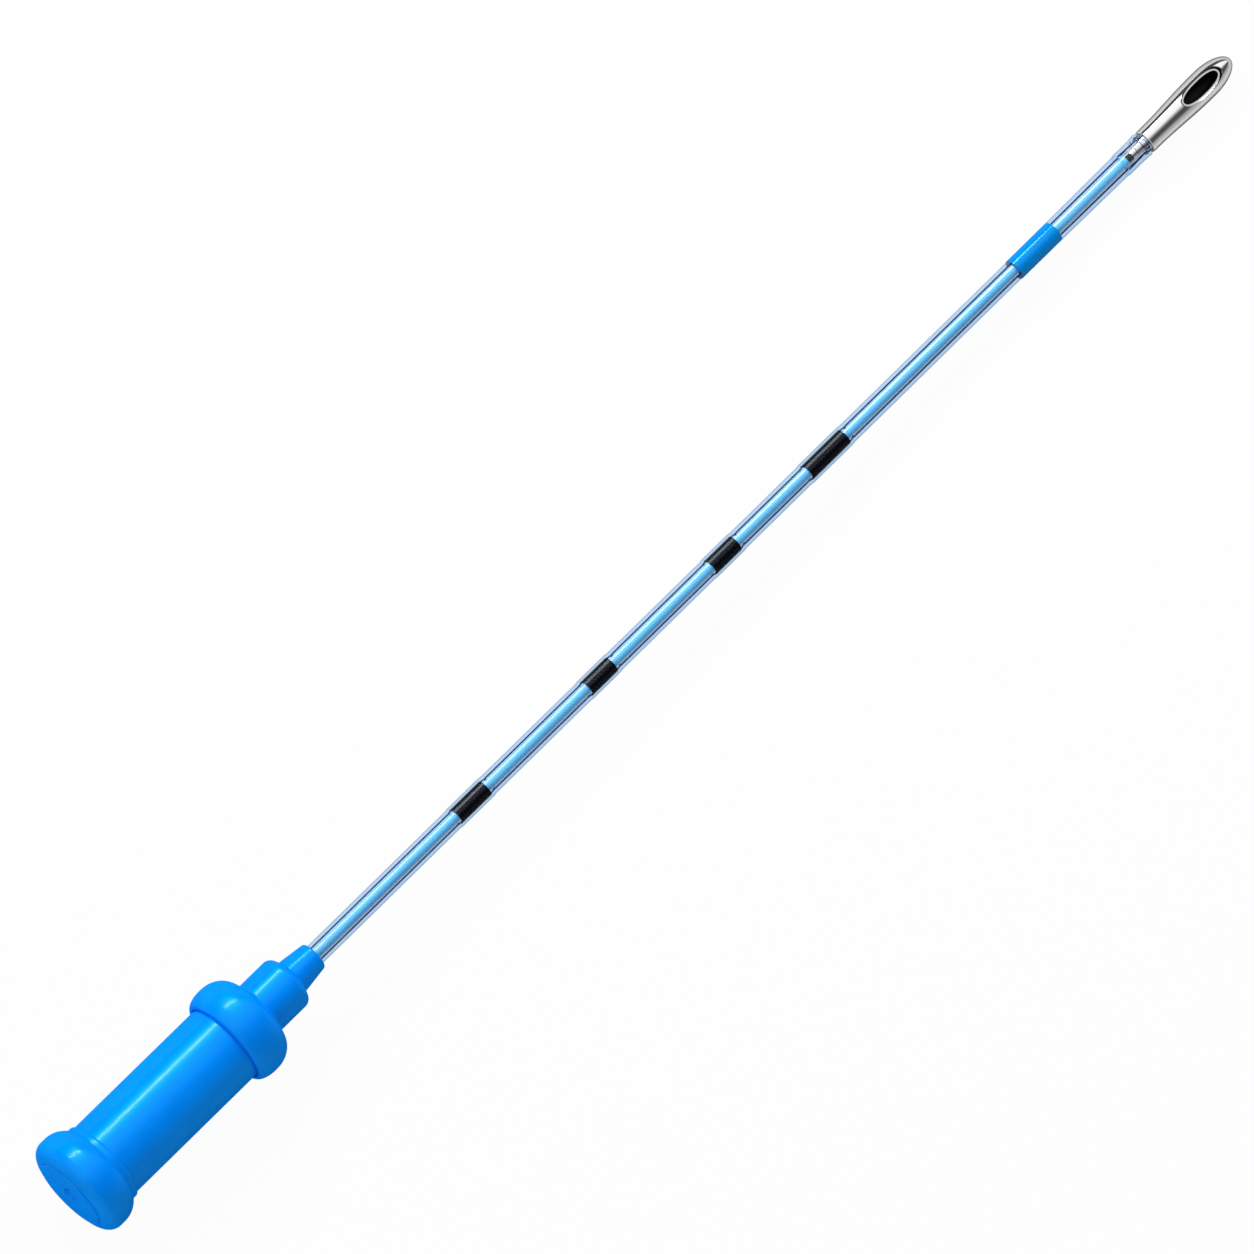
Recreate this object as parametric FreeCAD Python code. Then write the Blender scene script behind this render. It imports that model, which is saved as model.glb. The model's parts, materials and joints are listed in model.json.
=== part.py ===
"""Endometrial biopsy catheter: a steel curette tip on a clear sheath, with a piston drawn by a grip.

Every piece is drawn along the catheter's own axis: x runs from the grip's end face to the tip, and
r is the distance from that axis. The last section lays the catheter down as it rests, on its collar
and its tip, with the eye on top. Sizes are in millimetres and angles in degrees.
"""
import FreeCAD, Part
import math
import os

# Grip: a hollow moulded barrel with a thumb flange, closed by an end plug
grip_len = 36.1
barrel_r = 6.72
barrel_wall = 1.35
front_wall = 1.4
flange_r = 8.65
flange_back = 2.4
flange_crown = 0.9
flange_round = 4.1
flange_ledge = 0.32
plug_r = 6.1
plug_thick = 1.5
plug_skirt_len = 3.0
plug_skirt_wall = 0.9
gate_mark_len = 2.4
gate_mark_width = 1.1
gate_mark_depth = 0.25
boss_r = 2.4
boss_len = 12.0
rib_count = 4
rib_thick = 1.0
rib_len = 9.0

# Hub: collar, straight step and cone nozzle in one moulding
collar_r = 8.32
collar_len = 7.25
collar_back = 2.7
collar_crown = 0.5
collar_lip = 0.25
seat_depth = 2.6
seat_gap = 0.1
barrel_gap = 0.15
step_r = 4.6
step_len = 7.1
step_round = 1.3
nozzle_base_r = 3.05
nozzle_end_wall = 0.63
nozzle_len = 5.25
guide_r = 3.0
guide_len = 9.2
guide_lead_in = 0.3

# Sheath: a thin liner, printed depth rings round it and a clear jacket over both
sheath_r = 1.75
bore_r = 1.25
liner_wall = 0.1
ring_thick = 0.06
sheath_reach = 187.6
depth_rings = ((93.4, 8.4), (116.7, 5.6), (144.5, 5.5), (173.1, 6.4))
band_from_tip = 45.6
band_len = 9.1
band_thick = 0.08
flare_rise = 0.15

# Tip sleeve: a clear cuff that locks the sheath to the steel tip
sleeve_len = 5.3
sleeve_wall = 0.3
lip_swell = 0.13
lip_swell_len = 1.1
lip_len = 0.85
lip_gap = 0.25
lip_tuck = 0.2

# Curette tip: a hollow steel bullet with a bevelled eye, a neck groove and a spigot
tip_len = 19.9
neck_r = 2.07
neck_straight = 1.1
groove_r = 1.6
root_len = 1.2
spigot_r = 1.0
spigot_wall = 0.15
spigot_reach = 3.45
bulb_r = 2.5
nose_len = 5.8
crown_len = 1.0
tip_wall = 0.55
cavity_len = 10.0
cavity_from_tip = 3.1
drill_cone_len = 1.2
drill_point_len = 1.2
eye_from_tip = 7.2
eye_len = 7.9
eye_width = 2.3
eye_bevel = 0.7
eye_bevel_side = 0.6
eye_fullness = 0.62

# Plunger: a rod with a piston head, and a rubber seal snapped over its nose
rod_r = 1.1
rod_gap = 0.04
rod_in_grip = 12.6
head_gap = 0.06
head_len = 6.0
seal_gap = 0.04
seal_len = 1.05
seal_core_r = 0.55
stop_gap = 0.1
catch_r = 0.7
catch_len = 0.6

# Stations along the axis, worked out from the sizes
flange_ledge_r = barrel_r + flange_ledge
flange_drop = flange_r - flange_ledge_r
flange_sweep = math.sqrt(flange_round ** 2 - (flange_round - flange_drop) ** 2)
flange_end = flange_back + flange_crown + flange_sweep
barrel_bore_r = barrel_r - barrel_wall
collar_start = grip_len - seat_depth
collar_end = collar_start + collar_len
crown_end = collar_start + collar_back + collar_crown
seat_floor = grip_len + seat_gap
step_end = collar_end + step_len
nozzle_end = step_end + nozzle_len
guide_end = seat_floor + guide_len
neck = nozzle_end + sheath_reach
tip_end = neck + tip_len
bulb_start = tip_end - nose_len - crown_len
sheath_end = neck - lip_gap - lip_len
sleeve_start = sheath_end + lip_len - sleeve_len
band_centre = tip_end - band_from_tip
band_front = band_centre + band_len / 2
liner_r = bore_r + liner_wall
ring_r = liner_r + ring_thick
nozzle_end_r = sheath_r + nozzle_end_wall
flare_r = sheath_r + flare_rise
sleeve_back_r = sheath_r + sleeve_wall
sleeve_lip_r = sleeve_back_r + lip_swell
spigot_end = sheath_end - spigot_reach + root_len
seal_front = spigot_end - stop_gap
seal_back = seal_front - seal_len
head_back = seal_back - head_len
stroke = head_back - guide_end - stop_gap

AXIS = FreeCAD.Vector(1, 0, 0)
QUARTER = 0.5523

# How many straight strips make up a large round and a small one
LARGE_STEPS = 3
SMALL_STEPS = 2


def at(x, r):
    """The point of a half section at x along the axis and r away from it."""
    return FreeCAD.Vector(x, 0, r)


class Outline:
    """A closed half section, drawn edge by edge and turned round the axis."""

    def __init__(self, x, r):
        self.first = at(x, r)
        self.here = self.first
        self.edges = []

    def line(self, x, r):
        self.edges.append(Part.makeLine(self.here, at(x, r)))
        self.here = at(x, r)
        return self

    def bend(self, x, r, leave, steps):
        """A quarter round in short straight steps, leaving along the axis or across it."""
        start = self.here
        for step in range(1, steps + 1):
            turn = math.pi / 2 * step / steps
            rise = {"along": 1 - math.cos(turn), "across": math.sin(turn)}[leave]
            run = {"along": math.sin(turn), "across": 1 - math.cos(turn)}[leave]
            self.line(start.x + (x - start.x) * run, start.z + (r - start.z) * rise)
        return self

    def fall(self, radius, x, steps):
        """A round of the given radius that leaves along the axis and falls until it reaches x."""
        start = self.here
        sweep = math.asin((x - start.x) / radius)
        for step in range(1, steps + 1):
            turn = sweep * step / steps
            self.line(start.x + radius * math.sin(turn), start.z - radius * (1 - math.cos(turn)))
        return self

    def solid(self):
        self.edges.append(Part.makeLine(self.here, self.first))
        face = Part.Face(Part.Wire(self.edges))
        return face.revolve(FreeCAD.Vector(), AXIS, 360)


def tube(start, end, inner, outer):
    """A plain ring or tube between two stations."""
    return Outline(start, inner).line(start, outer).line(end, outer).line(end, inner).solid()


def oval(half_len, half_width, x, z, fullness):
    """A level closed oval of four equal curves, centred over the axis at x and z."""
    ends = ((half_len, 0), (0, half_width), (-half_len, 0), (0, -half_width))
    edges = []
    for (ax, ay), (bx, by) in zip(ends, ends[1:] + ends[:1]):
        start = FreeCAD.Vector(x + ax, ay, z)
        end = FreeCAD.Vector(x + bx, by, z)
        corner = FreeCAD.Vector(x + ax + bx, ay + by, z)
        first = start + (corner - start) * fullness
        last = end + (corner - end) * fullness
        bezier = Part.BezierCurve()
        bezier.setPoles([start, first, last, end])
        edges.append(bezier.toShape())
    return Part.Wire(edges)


# Grip

def grip_barrel():
    """Thumb flange, straight barrel, front wall with a ribbed boss that holds the rod."""
    front_face = grip_len - front_wall
    shell = (Outline(0, plug_r)
             .line(0, flange_r - flange_back)
             .bend(flange_back, flange_r, "across", LARGE_STEPS)
             .line(flange_back + flange_crown, flange_r)
             .fall(flange_round, flange_end, LARGE_STEPS)
             .line(flange_end, barrel_r)
             .line(grip_len, barrel_r)
             .line(grip_len, rod_r)
             .line(front_face - boss_len, rod_r)
             .line(front_face - boss_len, boss_r)
             .line(front_face, boss_r)
             .line(front_face, barrel_bore_r)
             .line(plug_thick, barrel_bore_r)
             .line(plug_thick, plug_r)
             .solid())
    rib_foot = (boss_r + rod_r) / 2
    rib_head = (barrel_bore_r + barrel_r) / 2
    for index in range(rib_count):
        rib = Part.makeBox(rib_len, rib_thick, rib_head - rib_foot)
        rib.translate(FreeCAD.Vector(front_face - rib_len, -rib_thick / 2, rib_foot))
        rib.rotate(FreeCAD.Vector(), AXIS, 360 * (index + 0.5) / rib_count)
        shell = shell.fuse(rib)
    return shell.removeSplitter()


def grip_end_plug():
    """A disc with a skirt that fills the barrel's open end, with the mark of its moulding gate."""
    skirt_end = plug_thick + plug_skirt_len
    plug = (Outline(0, 0)
            .line(0, plug_r)
            .line(plug_thick, plug_r)
            .line(plug_thick, barrel_bore_r)
            .line(skirt_end, barrel_bore_r)
            .line(skirt_end, barrel_bore_r - plug_skirt_wall)
            .line(plug_thick, barrel_bore_r - plug_skirt_wall)
            .line(plug_thick, 0)
            .solid())
    rim = oval(gate_mark_len / 2, gate_mark_width / 2, 0, 0, QUARTER)
    mark = Part.Face(rim).extrude(FreeCAD.Vector(0, 0, gate_mark_depth))
    mark.rotate(FreeCAD.Vector(), FreeCAD.Vector(0, 1, 0), 90)
    return plug.cut(mark)


# Hub

def hub():
    """Collar with the barrel's seat behind, straight step, cone nozzle, and the bores inside."""
    lip_r = barrel_r + barrel_gap
    return (Outline(collar_start, lip_r)
            .line(collar_start, lip_r + collar_lip)
            .bend(collar_start + collar_back, collar_r, "across", LARGE_STEPS)
            .line(crown_end, collar_r)
            .bend(collar_end, step_r, "along", LARGE_STEPS)
            .line(step_end - step_round, step_r)
            .bend(step_end, step_r - step_round, "along", SMALL_STEPS)
            .line(step_end, nozzle_base_r)
            .line(nozzle_end, nozzle_end_r)
            .line(nozzle_end, sheath_r)
            .line(guide_end, sheath_r)
            .line(guide_end, guide_r)
            .line(seat_floor, guide_r)
            .line(seat_floor, lip_r)
            .solid())


def rod_guide():
    """A bush pressed into the hub: it guides the rod, and the piston head stops against it."""
    bush_r = rod_r + rod_gap
    return (Outline(seat_floor + guide_lead_in, bush_r)
            .line(seat_floor, bush_r + guide_lead_in)
            .line(seat_floor, guide_r)
            .line(guide_end, guide_r)
            .line(guide_end, bush_r)
            .solid())


# Sheath

def ring_span(distance, length):
    """Where a depth ring starts and ends, from the distance of its middle to the tip's end."""
    middle = tip_end - distance
    return middle - length / 2, middle + length / 2


def sheath_liner():
    return tube(guide_end, sheath_end, bore_r, liner_r)


def sheath_jacket():
    """The clear outer tube: it closes over each depth ring and thickens before the sleeve."""
    spans = sorted(ring_span(distance, length) for distance, length in depth_rings)
    profile = Outline(guide_end, liner_r).line(guide_end, sheath_r)
    profile.line(band_front, sheath_r)
    profile.line(band_front, flare_r)
    profile.line(sleeve_start, flare_r)
    profile.line(sleeve_start, sheath_r)
    profile.line(sheath_end, sheath_r)
    profile.line(sheath_end, liner_r)
    for start, end in reversed(spans):
        profile.line(end, liner_r)
        profile.line(end, ring_r)
        profile.line(start, ring_r)
        profile.line(start, liner_r)
    return profile.solid()


def depth_ring(distance, length):
    start, end = ring_span(distance, length)
    return tube(start, end, liner_r, ring_r)


def position_band():
    """The coloured band, pushed on from behind up to the jacket's shoulder."""
    return tube(band_front - band_len, band_front, sheath_r, sheath_r + band_thick)


def tip_sleeve():
    """The clear cuff: it laps the sheath's end and turns in to the tip's groove."""
    lip_start = sheath_end
    lip_front = neck - lip_gap
    turn = sleeve_lip_r - groove_r
    return (Outline(sleeve_start, sheath_r)
            .line(sleeve_start, sleeve_back_r)
            .line(lip_front - turn - lip_swell_len, sleeve_back_r)
            .line(lip_front - turn, sleeve_lip_r)
            .bend(lip_front, groove_r + lip_tuck, "along", SMALL_STEPS)
            .line(lip_front, groove_r)
            .line(lip_start, groove_r)
            .line(lip_start, sheath_r)
            .solid())


# Curette tip

def curette_tip():
    """Spigot, neck groove and bullet turned as one, then hollowed, then the eye cut with its bevel."""
    nose_start = tip_end - nose_len
    body_start = neck + neck_straight
    bullet = (Outline(spigot_end, 0)
              .line(spigot_end, spigot_r)
              .line(sheath_end - root_len, spigot_r)
              .line(sheath_end - root_len, bore_r)
              .line(sheath_end, bore_r)
              .line(sheath_end, groove_r)
              .line(neck, groove_r)
              .line(neck, neck_r)
              .line(body_start, neck_r)
              .line(bulb_start, bulb_r)
              .line(nose_start, bulb_r)
              .bend(tip_end, 0, "along", LARGE_STEPS)
              .solid())
    cavity_r = bulb_r - tip_wall
    lumen_r = spigot_r - spigot_wall
    cavity_end = tip_end - cavity_from_tip
    cavity_start = cavity_end - cavity_len
    lumen = (Outline(spigot_end, 0)
             .line(spigot_end, lumen_r)
             .line(cavity_start - drill_cone_len, lumen_r)
             .line(cavity_start, cavity_r)
             .line(cavity_end, cavity_r)
             .line(cavity_end + drill_point_len, 0)
             .solid())
    middle = tip_end - eye_from_tip
    sill = math.sqrt(cavity_r ** 2 - (eye_width / 2) ** 2)
    opening = Part.Face(oval(eye_len / 2, eye_width / 2, middle, 0, eye_fullness))
    bevel_foot = oval(eye_len / 2, eye_width / 2, middle, sill, eye_fullness)
    head_half_len = eye_len / 2 + eye_bevel
    head_half_width = eye_width / 2 + eye_bevel_side
    bevel_head = oval(head_half_len, head_half_width, middle, bulb_r, eye_fullness)
    bevel = Part.makeLoft([bevel_foot, bevel_head], True, True)
    eye = opening.extrude(FreeCAD.Vector(0, 0, sill)).fuse(bevel)
    return bullet.cut(lumen).cut(eye)


# Plunger

def piston_rod():
    """Rod, piston head, the core that the seal sits on and the catch that keeps it there."""
    rod_start = grip_len - rod_in_grip
    head_r = bore_r - head_gap
    return (Outline(rod_start, 0)
            .line(rod_start, rod_r)
            .line(head_back, rod_r)
            .line(head_back, head_r)
            .line(seal_back, head_r)
            .line(seal_back, seal_core_r)
            .line(seal_front, seal_core_r)
            .line(seal_front, catch_r)
            .bend(seal_front + catch_len, 0, "along", SMALL_STEPS)
            .solid())


def piston_seal():
    """The rubber ring on the core, sized to run just clear of the liner's bore."""
    return tube(seal_back, seal_front, seal_core_r, bore_r - seal_gap)


# The whole catheter, laid on its collar and its tip

pieces = {
    "grip_barrel": grip_barrel(),
    "grip_end_plug": grip_end_plug(),
    "hub": hub(),
    "rod_guide": rod_guide(),
    "sheath_liner": sheath_liner(),
    "sheath_jacket": sheath_jacket(),
    "position_band": position_band(),
    "tip_sleeve": tip_sleeve(),
    "curette_tip": curette_tip(),
    "piston_rod": piston_rod(),
    "piston_seal": piston_seal(),
}
for number, (distance, length) in enumerate(depth_rings, start=1):
    pieces["depth_ring_%d" % number] = depth_ring(distance, length)

rest_tilt = math.degrees(math.atan2(collar_r - bulb_r, bulb_start + crown_len - crown_end))
for shape in pieces.values():
    shape.rotate(FreeCAD.Vector(), FreeCAD.Vector(0, 1, 0), rest_tilt)
box = Part.makeCompound(list(pieces.values())).optimalBoundingBox(False, False)
to_origin = FreeCAD.Vector(-(box.XMin + box.XMax) / 2, -(box.YMin + box.YMax) / 2, -box.ZMin)

os.makedirs("parts", exist_ok=True)
for name, shape in pieces.items():
    shape.translate(to_origin)
    shape.exportStep("parts/%s.step" % name)
    print("%-16s solids %d volume %.2f" % (name, len(shape.Solids), shape.Volume))
print("stroke %.3f  rest tilt %.4f" % (stroke, rest_tilt))
print("axis starts at %.3f %.3f %.3f" % tuple(to_origin))
print("tip end at %.3f along the axis" % tip_end)
print("box %.2f x %.2f x %.2f" % (box.XLength, box.YLength, box.ZLength))
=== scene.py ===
"""Endometrial biopsy catheter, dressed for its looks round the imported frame.

Each section is one piece, in the order in which the catheter goes together. Pieces are drawn in
millimetres along the catheter's own axis, x from the grip's end face to the tip, and laid down last.
"""
import json
import math

import bmesh
import bpy
from mathutils import Matrix, Vector


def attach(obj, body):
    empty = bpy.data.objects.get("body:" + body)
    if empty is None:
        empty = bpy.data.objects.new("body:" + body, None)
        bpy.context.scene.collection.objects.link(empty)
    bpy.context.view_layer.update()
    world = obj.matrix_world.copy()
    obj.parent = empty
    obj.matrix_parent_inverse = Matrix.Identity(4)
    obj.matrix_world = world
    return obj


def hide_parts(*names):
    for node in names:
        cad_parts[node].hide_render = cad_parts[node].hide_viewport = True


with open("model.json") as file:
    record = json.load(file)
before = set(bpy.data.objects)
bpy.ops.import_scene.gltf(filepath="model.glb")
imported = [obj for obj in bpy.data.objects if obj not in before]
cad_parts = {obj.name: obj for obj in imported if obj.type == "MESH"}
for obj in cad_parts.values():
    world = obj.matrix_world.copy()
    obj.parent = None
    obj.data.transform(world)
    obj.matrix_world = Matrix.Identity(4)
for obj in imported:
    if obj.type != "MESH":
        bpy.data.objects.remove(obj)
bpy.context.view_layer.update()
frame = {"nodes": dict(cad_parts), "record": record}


# The catheter's axis
# The grip, hub, sheath and tip share one line, which dips a little towards the tip because the
# catheter lies on its collar and its bulb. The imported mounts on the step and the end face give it.
MM = 0.001
mounts = {mount["name"]: mount for mount in frame["record"]["mounts"]}
ahead = Vector(mounts["hub_step"]["axis"]).normalized()
side = Vector((0, 1, 0))
up = ahead.cross(side)
on_step = Vector(mounts["hub_step"]["pos_m"])
on_end_face = Vector(mounts["grip_end"]["pos_m"])
end_face = on_step + ahead * (on_end_face - on_step).dot(ahead)
lying = Matrix((ahead, side, up)).transposed().to_4x4()
LAY_DOWN = Matrix.Translation(end_face) @ lying @ Matrix.Scale(MM, 4)


def span(node):
    """Where a CAD node starts and ends along the axis, and its bore and outer radius, in mm."""
    points = [LAY_DOWN.inverted() @ vertex.co for vertex in frame["nodes"][node].data.vertices]
    stations = [point.x for point in points]
    radii = [math.hypot(point.y, point.z) for point in points]
    return min(stations), max(stations), min(radii), max(radii)


# Grip barrel
# The pull grip is one glossy blue moulding in polypropylene: a thumb flange with a rolled rim, and a
# straight barrel that seats in the hub's collar. Its mould leaves a slightly wavy, shiny skin.
BARREL_R = 6.72
GRIP_SEAM_R = 6.1
RIM_SINK = 0.22
FLANGE_BACK = 2.4
FLANGE_CROWN = 0.9
FLANGE_ROUND = 4.1
FLANGE_LEDGE = 0.36
LEDGE_LEN = 0.6
LEDGE_ROUND = 0.5
BARREL_WALL = 1.35
PLUG_THICK = 1.5
FALL_STEPS = 10
MOULD_EDGE = 0.12
COLUMNS = 144
SHARP_ANGLE = math.radians(34)
CORNER_ANGLE = math.radians(26)


def linear(code):
    """The linear RGBA colour of an sRGB hex code."""
    parts = [int(code[place:place + 2], 16) / 255 for place in (1, 3, 5)]
    parts = [part / 12.92 if part <= 0.04045 else ((part + 0.055) / 1.055) ** 2.4 for part in parts]
    return tuple(parts) + (1,)


def add(tree, kind, settings=None, inputs=None):
    """Adds a node with its settings, and sets or links its inputs."""
    node = tree.nodes.new(kind)
    for name, value in (settings or {}).items():
        setattr(node, name, value)
    for socket, value in (inputs or {}).items():
        if isinstance(value, bpy.types.NodeSocket):
            tree.links.new(value, node.inputs[socket])
        else:
            node.inputs[socket].default_value = value
    return node


def start_material(name, values):
    """A material whose Principled shader has the given socket values."""
    material = bpy.data.materials.new(name)
    material.use_nodes = True
    shader = material.node_tree.nodes["Principled BSDF"]
    for socket, value in values.items():
        shader.inputs[socket].default_value = value
    return material, material.node_tree, shader


def quarter(x, r, end_x, end_r, leave, steps=10):
    """Points of a quarter round from x, r that leaves along the axis or across it."""
    points = []
    for step in range(1, steps + 1):
        turn = math.pi / 2 * step / steps
        rise = {"along": 1 - math.cos(turn), "across": math.sin(turn)}[leave]
        run = {"along": math.sin(turn), "across": 1 - math.cos(turn)}[leave]
        points.append((x + (end_x - x) * run, r + (end_r - r) * rise))
    return points


def soften(outline, radius, steps=4):
    """The outline with its hard corners rounded to about the radius."""
    smooth = []
    count = len(outline)
    for index, (x, r) in enumerate(outline):
        here = Vector((x, r))
        before = Vector(outline[index - 1]) - here
        after = Vector(outline[(index + 1) % count]) - here
        turn = math.pi - before.angle(after)
        if turn < CORNER_ANGLE or r < 1e-6:
            smooth.append((x, r))
            continue
        reach = min(radius * math.tan(turn / 2), 0.45 * before.length, 0.45 * after.length)
        start = here + before.normalized() * reach
        end = here + after.normalized() * reach
        for step in range(steps + 1):
            share = step / steps
            point = start * (1 - share) ** 2 + here * 2 * share * (1 - share) + end * share ** 2
            smooth.append((point.x, point.y))
    return smooth


def turned_mesh(outline, columns=COLUMNS):
    """A closed mesh in mm, turned round the axis from its half section."""
    shape = bmesh.new()
    rings = []
    for x, r in outline:
        turns = [2 * math.pi * column / columns for column in range(columns)] if r > 1e-6 else [0]
        rings.append([shape.verts.new((x, r * math.sin(turn), r * math.cos(turn))) for turn in turns])
    pairs = list(zip(rings, rings[1:]))
    if outline[0][1] > 1e-6:
        pairs.append((rings[-1], rings[0]))
    for near, far in pairs:
        for column in range(columns):
            after = (column + 1) % columns
            corners = [near[column % len(near)], near[after % len(near)]]
            corners += [far[after % len(far)], far[column % len(far)]]
            shape.faces.new(list(dict.fromkeys(corners)))
    return closed_mesh(shape)


def closed_mesh(shape):
    """The mesh of a bmesh, with its faces turned outwards."""
    bmesh.ops.recalc_face_normals(shape, faces=shape.faces)
    mesh = bpy.data.meshes.new("shape")
    shape.to_mesh(mesh)
    shape.free()
    return mesh


def lay_piece(name, mesh, material):
    """Lays a mesh in mm down in the frame as a piece, shaded smooth but for its edges."""
    mesh.name = name
    mesh.transform(LAY_DOWN)
    mesh.shade_smooth()
    mesh.set_sharp_from_angle(angle=SHARP_ANGLE)
    mesh.materials.append(material)
    piece = bpy.data.objects.new(name, mesh)
    bpy.context.scene.collection.objects.link(piece)
    return piece


def lay_shine(tree, under, share, tint, roughness):
    """Lays a thin tinted shine over a plastic, and gives back the shine and the shader that holds both."""
    shine = add(tree, "ShaderNodeBsdfGlossy", inputs={"Color": linear(tint), "Roughness": roughness})
    both = add(tree, "ShaderNodeMixShader", inputs={"Fac": share, 1: under, 2: shine.outputs["BSDF"]})
    tree.links.new(both.outputs["Shader"], tree.nodes["Material Output"].inputs["Surface"])
    return shine, both.outputs["Shader"]


def moulded_blue(name):
    """Glossy moulded polypropylene: a strong blue whose cyan highlights waver over faint flow marks."""
    material, tree, shader = start_material(name, {"IOR": 1.49, "Specular IOR Level": 0.0})
    coords = add(tree, "ShaderNodeTexCoord").outputs["Object"]
    flow_size = 7.0
    flow = add(tree, "ShaderNodeTexNoise",
               inputs={"Vector": coords, "Scale": 1 / (flow_size * MM), "Detail": 3.0})
    shades = add(tree, "ShaderNodeValToRGB", inputs={"Fac": flow.outputs["Fac"]})
    shades.color_ramp.elements[0].position = 0.3
    shades.color_ramp.elements[0].color = linear("#0082F8")
    shades.color_ramp.elements[1].position = 0.7
    shades.color_ramp.elements[1].color = linear("#008AFF")
    tree.links.new(shades.outputs["Color"], shader.inputs["Base Color"])
    wave_size = 2.6
    waves = add(tree, "ShaderNodeTexNoise",
                inputs={"Vector": coords, "Scale": 1 / (wave_size * MM), "Detail": 2.0})
    skin = add(tree, "ShaderNodeBump",
               inputs={"Height": waves.outputs["Fac"], "Strength": 0.25, "Distance": 0.05 * MM})
    gloss = add(tree, "ShaderNodeMapRange",
                inputs={"Value": flow.outputs["Fac"], "To Min": 0.36, "To Max": 0.42})
    glow, glowing = lay_shine(tree, shader.outputs["BSDF"], 0.05, "#18FFFF", gloss.outputs["Result"])
    glint, _ = lay_shine(tree, glowing, 0.006, "#F4FCFF", 0.11)
    for layer in (shader, glow, glint):
        tree.links.new(skin.outputs["Normal"], layer.inputs["Normal"])
    return material


blue_moulding = moulded_blue("moulded_polypropylene_blue")

grip_start, grip_front, _, flange_r = span("grip_barrel")
ledge_r = BARREL_R + FLANGE_LEDGE
drop = flange_r - ledge_r
sweep = math.acos(1 - drop / FLANGE_ROUND)
crown_front = FLANGE_BACK + FLANGE_CROWN
flange_front = crown_front + FLANGE_ROUND * math.sin(sweep)
fall = []
for step in range(FALL_STEPS + 1):
    turn = sweep * step / FALL_STEPS
    fall.append((crown_front + FLANGE_ROUND * math.sin(turn), flange_r - FLANGE_ROUND * (1 - math.cos(turn))))
bore_r = BARREL_R - BARREL_WALL
rim_back = grip_start + RIM_SINK
barrel_outline = [(rim_back, GRIP_SEAM_R)]
barrel_outline += quarter(rim_back, GRIP_SEAM_R, FLANGE_BACK, flange_r, "across", 14)
barrel_outline += fall
ledge_front = flange_front + LEDGE_LEN
barrel_outline += quarter(ledge_front, ledge_r, ledge_front + LEDGE_ROUND, BARREL_R, "along", 6)
barrel_outline += [(grip_front, BARREL_R), (grip_front, bore_r)]
barrel_outline += [(PLUG_THICK, bore_r), (PLUG_THICK, GRIP_SEAM_R)]
grip_barrel = lay_piece("grip_shell", turned_mesh(soften(barrel_outline, MOULD_EDGE)), blue_moulding)
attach(grip_barrel, "plunger")
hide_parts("grip_barrel")


# Grip end plug
# A flush disc in the same blue, pressed into the barrel's open end. A fine seam shows round it, and
# a small oval dimple in its middle is where the moulding gate was trimmed.
DIMPLE_HALF_LEN = 1.8
DIMPLE_HALF_WIDTH = 1.1
DIMPLE_DEPTH = 0.9
DISH_R = 2.8
DISH_DEPTH = 0.2
SEAM_ROUND = 0.25
SKIRT_WALL = 0.9
FACE_RING_GAP = 0.2
FACE_RINGS = 14
FACE_DEEP = 0.01

plug_rings = [FACE_RING_GAP * ring for ring in range(1, FACE_RINGS + 1)]
_, plug_front, _, plug_r = span("grip_end_plug")
skirt_bore = bore_r - SKIRT_WALL
plug_outline = [(0, 0)] + [(0, r) for r in plug_rings]
plug_outline += [(0, plug_r), (PLUG_THICK, plug_r), (PLUG_THICK, bore_r)]
plug_outline += [(plug_front, bore_r), (plug_front, skirt_bore), (PLUG_THICK, skirt_bore), (PLUG_THICK, 0)]
plug_mesh = turned_mesh(soften(plug_outline, SEAM_ROUND))
for vertex in plug_mesh.vertices:
    if vertex.co.x < FACE_DEEP:
        reach = math.hypot(vertex.co.y / DIMPLE_HALF_WIDTH, vertex.co.z / DIMPLE_HALF_LEN)
        bowl = max(0.0, 1 - reach ** 2)
        dish = max(0.0, 1 - (math.hypot(vertex.co.y, vertex.co.z) / DISH_R) ** 2)
        vertex.co.x += DIMPLE_DEPTH * bowl ** 0.4 + DISH_DEPTH * dish ** 2
end_plug = lay_piece("end_disc", plug_mesh, blue_moulding)
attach(end_plug, "plunger")
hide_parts("grip_end_plug")


# Hub
# The hub is one moulding in the same blue: a rounded collar that takes the barrel, a straight step
# with a rounded shoulder, and a cone nozzle that grips the sheath.
COLLAR_LEN = 7.25
COLLAR_BACK = 2.7
COLLAR_CROWN = 0.5
COLLAR_LIP = 0.25
COLLAR_FILLET = 0.6
LIP_R = 6.87
STEP_R = 4.6
STEP_LEN = 7.1
STEP_ROUND = 1.3
NOZZLE_BASE_R = 3.05
NOZZLE_END_R = 2.38
NOZZLE_ROUND = 0.4
NOZZLE_SHOULDER = 0.3
NOZZLE_DROP = 0.04
NOZZLE_SWELL = 0.05
NOZZLE_RIM = 0.2
COLLAR_FACE_INSET = 0.15
SEAT_GAP = 0.1
SHEATH_R = 1.75
GUIDE_R = 3.0

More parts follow.
